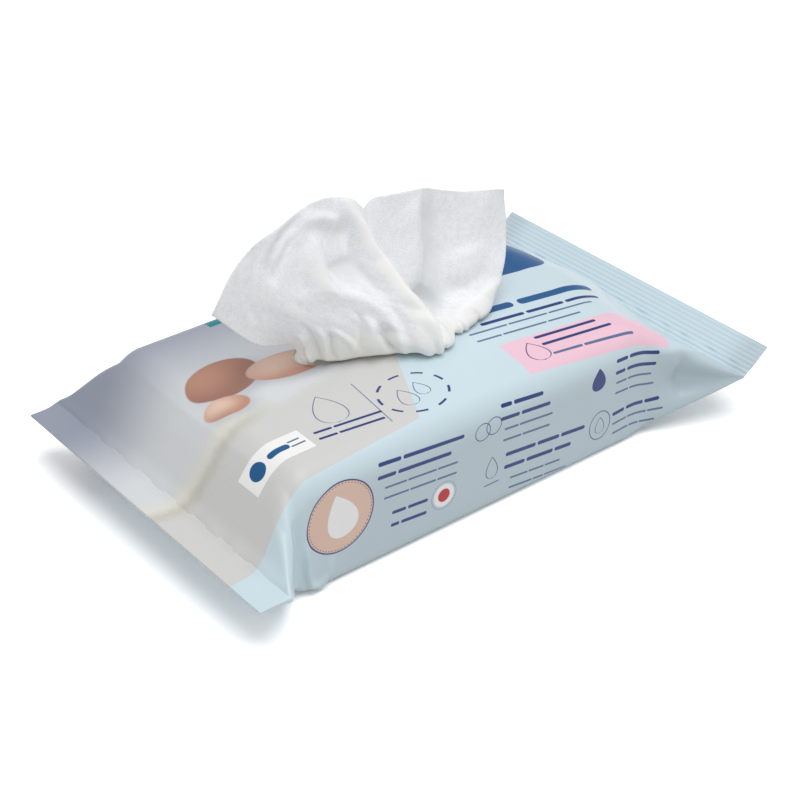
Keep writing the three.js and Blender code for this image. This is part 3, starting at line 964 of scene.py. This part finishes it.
# lines in shares of the sheet across and up, rise and width on each side in millimetres
bandRidge = [
    (0.34, 1.02), (0.387, 0.938), (0.44, 0.88), (0.475, 0.785), (0.46, 0.646), (0.446, 0.546), (0.45, 0.469),
    (0.437, 0.369), (0.42, 0.2),
]
bandValley = [(0.345, 0.94), (0.4, 0.87), (0.42, 0.8), (0.424, 0.692), (0.41, 0.6), (0.392, 0.54)]
rollRidge = [
    (0.19, 0.66), (0.257, 0.625), (0.307, 0.605), (0.34, 0.577), (0.353, 0.508), (0.353, 0.431),
    (0.333, 0.338), (0.297, 0.231),
]
wipeFolds = [
    (bandRidge, 3.4, 3.2, 3.5),
    (bandValley, -2.4, 1.6, 3),
    ([(0.4, 0.58), (0.372, 0.423), (0.34, 0.292)], -1.2, 1.6, 2),
    # under the top of the hood
    ([(0.26, 0.965), (0.303, 0.945), (0.35, 0.925)], -0.8, 1.2, 1),
    ([(0.235, 0.95), (0.283, 0.931), (0.317, 0.915), (0.36, 0.9)], 1.3, 2, 1.4),
    ([(0.27, 0.895), (0.333, 0.875), (0.39, 0.868)], -1.5, 1.6, 6),
    # creases down its left
    ([(0.15, 1), (0.137, 0.923), (0.117, 0.869), (0.1, 0.823), (0.073, 0.769), (0.05, 0.7)], -1.1, 1.4, 1.2),
    (
        [(0.24, 0.97), (0.21, 0.962), (0.19, 0.938), (0.173, 0.9), (0.163, 0.846), (0.155, 0.8)],
        -1.7, 2.2, 1.4,
    ),
    ([(0.222, 0.92), (0.217, 0.9), (0.203, 0.869), (0.177, 0.815), (0.16, 0.77)], -1.2, 2, 1.4),
    # bright upright fold and the hollow beside it
    ([(0.263, 0.862), (0.287, 0.815), (0.297, 0.738), (0.293, 0.662), (0.287, 0.608)], 2.0, 2.2, 6),
    ([(0.31, 0.7), (0.345, 0.735), (0.385, 0.765), (0.42, 0.78)], -2.2, 2.5, 7),
    ([(0.327, 0.745), (0.363, 0.776), (0.41, 0.8)], 0.8, 1, 0.8),
    # roll over the gathers
    (rollRidge, 1.2, 2.2, 4),
    ([(0.085, 0.46), (0.043, 0.277), (0.04, 0.18)], 1.8, 1.4, 1.6),
    ([(0.135, 0.52), (0.09, 0.346), (0.08, 0.2)], -2.0, 1.2, 1.2),
    ([(0.15, 0.45), (0.115, 0.3), (0.1, 0.2)], 0.9, 1.2, 1.2),
    ([(0.165, 0.41), (0.14, 0.315), (0.123, 0.2)], -2.4, 1.2, 1.2),
    ([(0.18, 0.42), (0.193, 0.346), (0.2, 0.3), (0.19, 0.22)], 1.2, 1.4, 1.4),
    ([(0.3, 0.5), (0.287, 0.431), (0.24, 0.323), (0.19, 0.2)], -1.6, 1.1, 1.1),
    ([(0.315, 0.45), (0.273, 0.331), (0.22, 0.22)], 1.5, 1.8, 1.8),
    ([(0.34, 0.41), (0.3, 0.323), (0.273, 0.18)], -3.4, 1.8, 1.8),
    ([(0.355, 0.42), (0.325, 0.308), (0.3, 0.2)], 0.9, 1.1, 1.1),
    # foot of the band
    ([(0.433, 0.485), (0.4, 0.369), (0.353, 0.231)], 1.6, 5, 5),
    ([(0.5, 0.43), (0.45, 0.323), (0.42, 0.2)], -2.4, 1.5, 1.5),
    ([(0.41, 0.32), (0.385, 0.22)], -0.7, 0.9, 0.9),
    # right lobe and its flap
    (
        [(0.755, 1.02), (0.787, 0.823), (0.793, 0.708), (0.77, 0.592), (0.727, 0.492), (0.6, 0.44)],
        -2.8, 6, 2.2,
    ),
    ([(0.745, 0.56), (0.7, 0.49), (0.62, 0.44), (0.54, 0.42)], -2.8, 2.6, 2.6),
    ([(0.73, 0.96), (0.763, 0.8), (0.757, 0.662), (0.72, 0.562)], 1.0, 1.5, 6),
    ([(0.873, 0.7), (0.877, 0.585), (0.847, 0.5)], 1.2, 7, 7),
    ([(0.6, 0.2), (0.71, 0.32), (0.843, 0.39), (0.917, 0.42), (1.03, 0.44)], 2.0, 2, 5),
    ([(0.56, 0.34), (0.68, 0.42), (0.78, 0.47), (0.94, 0.52)], -1.5, 4, 1.8),
    ([(0.68, 0.3), (0.64, 0.06)], -1.5, 1.5, 1.5),
    ([(0.8, 0.34), (0.78, 0.06)], -1.2, 1.5, 1.5),
]


def curveThrough(points, places):
    # centripetal curve through points, read at places from 0 to 1
    points = np.asarray(points, float)
    padded = np.concatenate([2 * points[:1] - points[1:2], points, 2 * points[-1:] - points[-2:-1]])
    spot = np.clip(np.asarray(places) * (len(points) - 1), 0, len(points) - 1 - 1e-9)
    k = spot.astype(int)
    t = (spot - k)[:, None]
    a, b, c, d = (padded[k + i] for i in range(4))

    def knotGap(p, q):
        return np.maximum(np.linalg.norm(q - p, axis=1, keepdims=True), 1e-9) ** 0.5

    before, here, after = knotGap(a, b), knotGap(b, c), knotGap(c, d)
    leave = ((b - a) / before - (c - a) / (before + here) + (c - b) / here) * here
    arrive = ((c - b) / here - (d - b) / (here + after) + (d - c) / after) * here
    square = 3 * (c - b) - 2 * leave - arrive
    cube = 2 * (b - c) + leave + arrive
    return b + leave * t + square * t ** 2 + cube * t ** 3


def wipeSurface():
    rim = film["top"] + film["crown"]
    u = np.linspace(0, 1, wipe["columns"] + 1)
    v = np.linspace(0, 1, wipe["rows"] + 1)

    def rail(points, left, right, sway):
        places = []
        for along, across, up in points:
            x = opening["centre"][0] + along * (left if along < 0 else right)
            places.append((x, opening["centre"][1] + across * sway, rim + up * wipe["height"]))
        return curveThrough(places, u)

    atOpening = (opening["size"][0] / 2, opening["size"][0] / 2, opening["size"][1] / 2)
    over = (wipe["leftReach"], wipe["rightReach"], wipe["sway"])
    rails = []
    for level, up in ((neckRail, wipe["neckUp"]), (lapRail, wipe["lapUp"])):
        rails.append(rail([(*spot, up) for spot in level], *atOpening))
    rails += [rail(points, *over) for points in (lowerRail, upperRail, freeEdge)]
    inside = wipe["inside"]
    grid = np.empty((len(v), len(u), 3))
    for column in range(len(u)):
        riser = curveThrough([line[column] for line in rails], np.linspace(0, 1, wipe["riserSteps"]))
        length = np.concatenate([[0], np.cumsum(np.linalg.norm(np.diff(riser, axis=0), axis=1))])
        reach = np.clip((v - inside) / (1 - inside), 0, 1) * length[-1]
        for axis in range(3):
            grid[:, column, axis] = np.interp(reach, length, riser[:, axis])
    sunk = np.clip(1 - v / inside, 0, 1)[:, None]
    grid[:, :, 2] -= sunk * (grid[:1, :, 2] - stackHigh[2] - wipe["offStack"])
    return grid, u, v


def wrinkleRise(across, up):
    chance = np.random.default_rng(wrinkles["seed"])
    total = np.zeros(across.shape)
    for length in np.linspace(wrinkles["shortest"], wrinkles["longest"], wrinkles["waves"]):
        way = chance.uniform(-wrinkles["slant"], wrinkles["slant"])
        phase = chance.uniform(0, 2 * math.pi)
        bend = wrinkles["bend"] * np.sin(up / wrinkles["bendLength"] + phase * 2)
        run = across * math.cos(way) + up * math.sin(way) + bend
        total += np.sin(run * 2 * math.pi / length + phase) * length / wrinkles["longest"]
    return total / wrinkles["calm"]


def buildWipe(material):
    grid, u, v = wipeSurface()
    across, up = np.meshgrid(u * wipe["flat"][0] / mm, v * wipe["flat"][1] / mm)
    share = np.repeat(v[:, None], len(u), axis=1)
    atRoot = np.clip(share / wipe["rootFade"], 0, 1)
    wave = np.sin(across * pleats["beat"] + pleats["sway"] * np.sin(across * pleats["swayBeat"]))
    rise = pleats["rise"] * wave * np.clip(1 - share / pleats["reach"], 0, 1) ** pleats["power"]
    rise += wrinkles["rise"] * wrinkleRise(across, up)
    for line, height, left, right in wipeFolds:
        line = [(a * wipe["flat"][0] / mm, b * wipe["flat"][1] / mm) for a, b in line]
        rise += foldRise(across, up, line, height, left, right)
    for axis in (0, 1):
        for turn in range(wipe["smoothing"]):
            rise = (np.roll(rise, 1, axis) + 2 * rise + np.roll(rise, -1, axis)) / 4
    grid = grid + gridNormals(grid, False) * (rise * atRoot * mm)[..., None]
    # outside the opening it lies on the film
    flat = (grid[..., :2] - opening["centre"]) / (np.array(opening["size"]) / 2)
    crown = np.cos(math.pi / 2 * np.clip(grid[..., 0] / film["length"], -1, 1))
    crown = crown * np.cos(math.pi / 2 * grid[..., 1] / film["half"])
    over = film["top"] + film["crown"] * crown + wipe["offFilm"]
    outside = (flat ** 2).sum(axis=-1) > wipe["restsPast"]
    grid[..., 2] = np.where(outside, np.maximum(grid[..., 2], over), grid[..., 2])
    half = gridNormals(grid, False) * wipe["wall"] / 2
    rows, columns = grid.shape[:2]
    points = np.concatenate([(grid + half).reshape(-1, 3), (grid - half).reshape(-1, 3)])
    faces, places = [], []

    def quad(*spots):
        faces.append([back * rows * columns + r * columns + c for r, c, back in spots])
        places.extend((across[r, c] * mm, up[r, c] * mm) for r, c, back in spots)

    lastRow, lastColumn = rows - 1, columns - 1
    for r in range(lastRow):
        for c in range(lastColumn):
            quad((r, c, 0), (r, c + 1, 0), (r + 1, c + 1, 0), (r + 1, c, 0))
            quad((r + 1, c, 1), (r + 1, c + 1, 1), (r, c + 1, 1), (r, c, 1))
        quad((r, 0, 1), (r, 0, 0), (r + 1, 0, 0), (r + 1, 0, 1))
        quad((r, lastColumn, 0), (r, lastColumn, 1), (r + 1, lastColumn, 1), (r + 1, lastColumn, 0))
    for c in range(lastColumn):
        quad((0, c, 1), (0, c + 1, 1), (0, c + 1, 0), (0, c, 0))
        quad((lastRow, c, 0), (lastRow, c + 1, 0), (lastRow, c + 1, 1), (lastRow, c, 1))
    piece = addMesh("wipe", points, faces, material)
    # fold height, which the wipe material also turns into painted highlight and shade
    fold = piece.data.attributes.new("fold", "FLOAT", "POINT")
    fold.data.foreach_set("value", np.tile(rise.ravel(), 2))
    layer = piece.data.uv_layers.new(name="flat")
    layer.data.foreach_set("uv", np.array(places).ravel())
    return piece


# light and floor
light = {"world": 0.55, "power": 15.5, "place": (0.0, -0.42, 1.64), "size": 1.4}
floorFinish = {"Roughness": 1.0, "Specular IOR Level": 0.0}
whiteFloor = {"reach": 6, "bounce": (0.62, 0.62, 0.62, 1), "seen": (1.5, 1.5, 1.5, 1)}


def addLight():
    data = bpy.data.lights.new("above", "AREA")
    data.shape = "DISK"
    data.size = light["size"]
    data.energy = light["power"]
    addObject("above", data).matrix_world = facing(light["place"], (0, 0, 0))


def addStage():
    material, sheet, surface = newMaterial("white floor", floorFinish)
    ray = sheet.node("ShaderNodeLightPath").outputs
    seen = sheet.math("MAXIMUM", ray["Is Camera Ray"], ray["Is Glossy Ray"])
    seen = sheet.math("MAXIMUM", seen, ray["Is Transmission Ray"])
    sheet.feed(surface, "Base Color", sheet.mix(seen, whiteFloor["bounce"], whiteFloor["seen"]))
    far = whiteFloor["reach"]
    corners = [(-far, -far, 0), (far, -far, 0), (far, far, 0), (-far, far, 0)]
    floor = addMesh("floor", corners, [(0, 1, 2, 3)], material)
    world = bpy.data.worlds.new("studio")
    bpy.context.scene.world = world
    world.use_nodes = True
    sky = world.node_tree.nodes["Background"]
    sheet = NodeSheet(world.node_tree)
    seen = sheet.node("ShaderNodeLightPath").outputs["Is Camera Ray"]
    sheet.feed(sky, "Color", (1, 1, 1, 1))
    # white behind the floor, plainer for the light it gives
    sheet.feed(sky, "Strength", sheet.math("MULTIPLY_ADD", seen, 1 - light["world"], light["world"]))
    addLight()


addCamera()
wipeCloth = wipeMaterial()
filmPiece = buildFilm(filmMaterial())
print("film:", len(filmPiece.data.polygons), "faces")
wipePiece = buildWipe(wipeCloth)
print("wipe:", len(wipePiece.data.polygons), "faces")
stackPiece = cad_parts["wipe_stack"]
stackPiece.data.materials.clear()
stackPiece.data.materials.append(wipeCloth)
addStage()

bpy.context.scene.view_settings.view_transform = "Standard"

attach(filmPiece, "root")
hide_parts("film_wrapper")
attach(wipePiece, "root")
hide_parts("pulled_wipe")

print("stage set")
